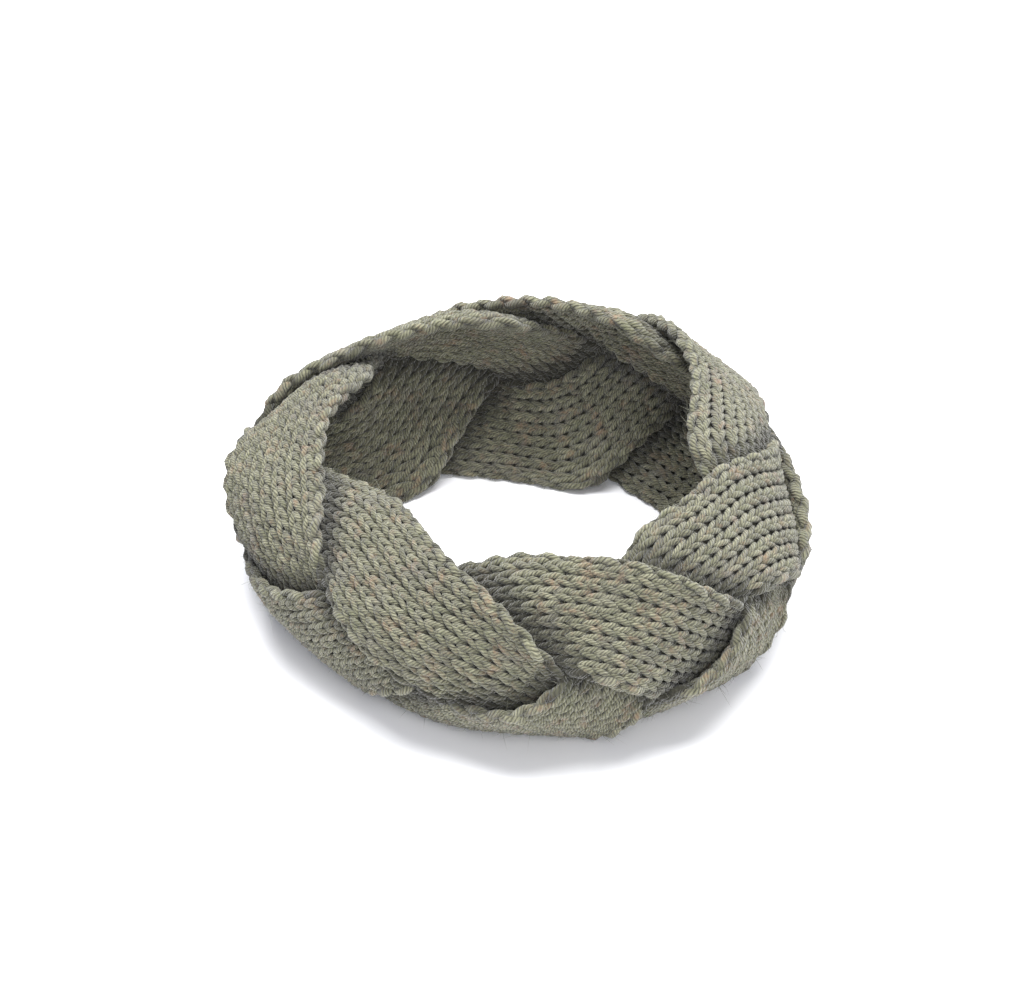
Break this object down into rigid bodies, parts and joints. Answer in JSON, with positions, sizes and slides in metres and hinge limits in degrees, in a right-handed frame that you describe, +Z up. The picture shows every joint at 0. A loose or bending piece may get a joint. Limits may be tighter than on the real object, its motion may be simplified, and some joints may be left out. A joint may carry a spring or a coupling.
{
  "type": "braided ear warmer headband",
  "caption": "Closed ring of wide knitted strips in a plain plait, worn around the head to cover the ears.",
  "frame": {"origin": "centre of the bounding box's bottom, the ring's axis upright", "axes": "+Z up along the ring's axis, -Y towards the ring's front, +X to the right seen from the front"},
  "size_m": [0.169, 0.1848, 0.0644],
  "materials": {
    "wool": "matte"
  },
  "bodies": {
    "root": {"strip_1": "wool", "strip_2": "wool", "strip_3": "wool"}
  },
  "joints": []
}
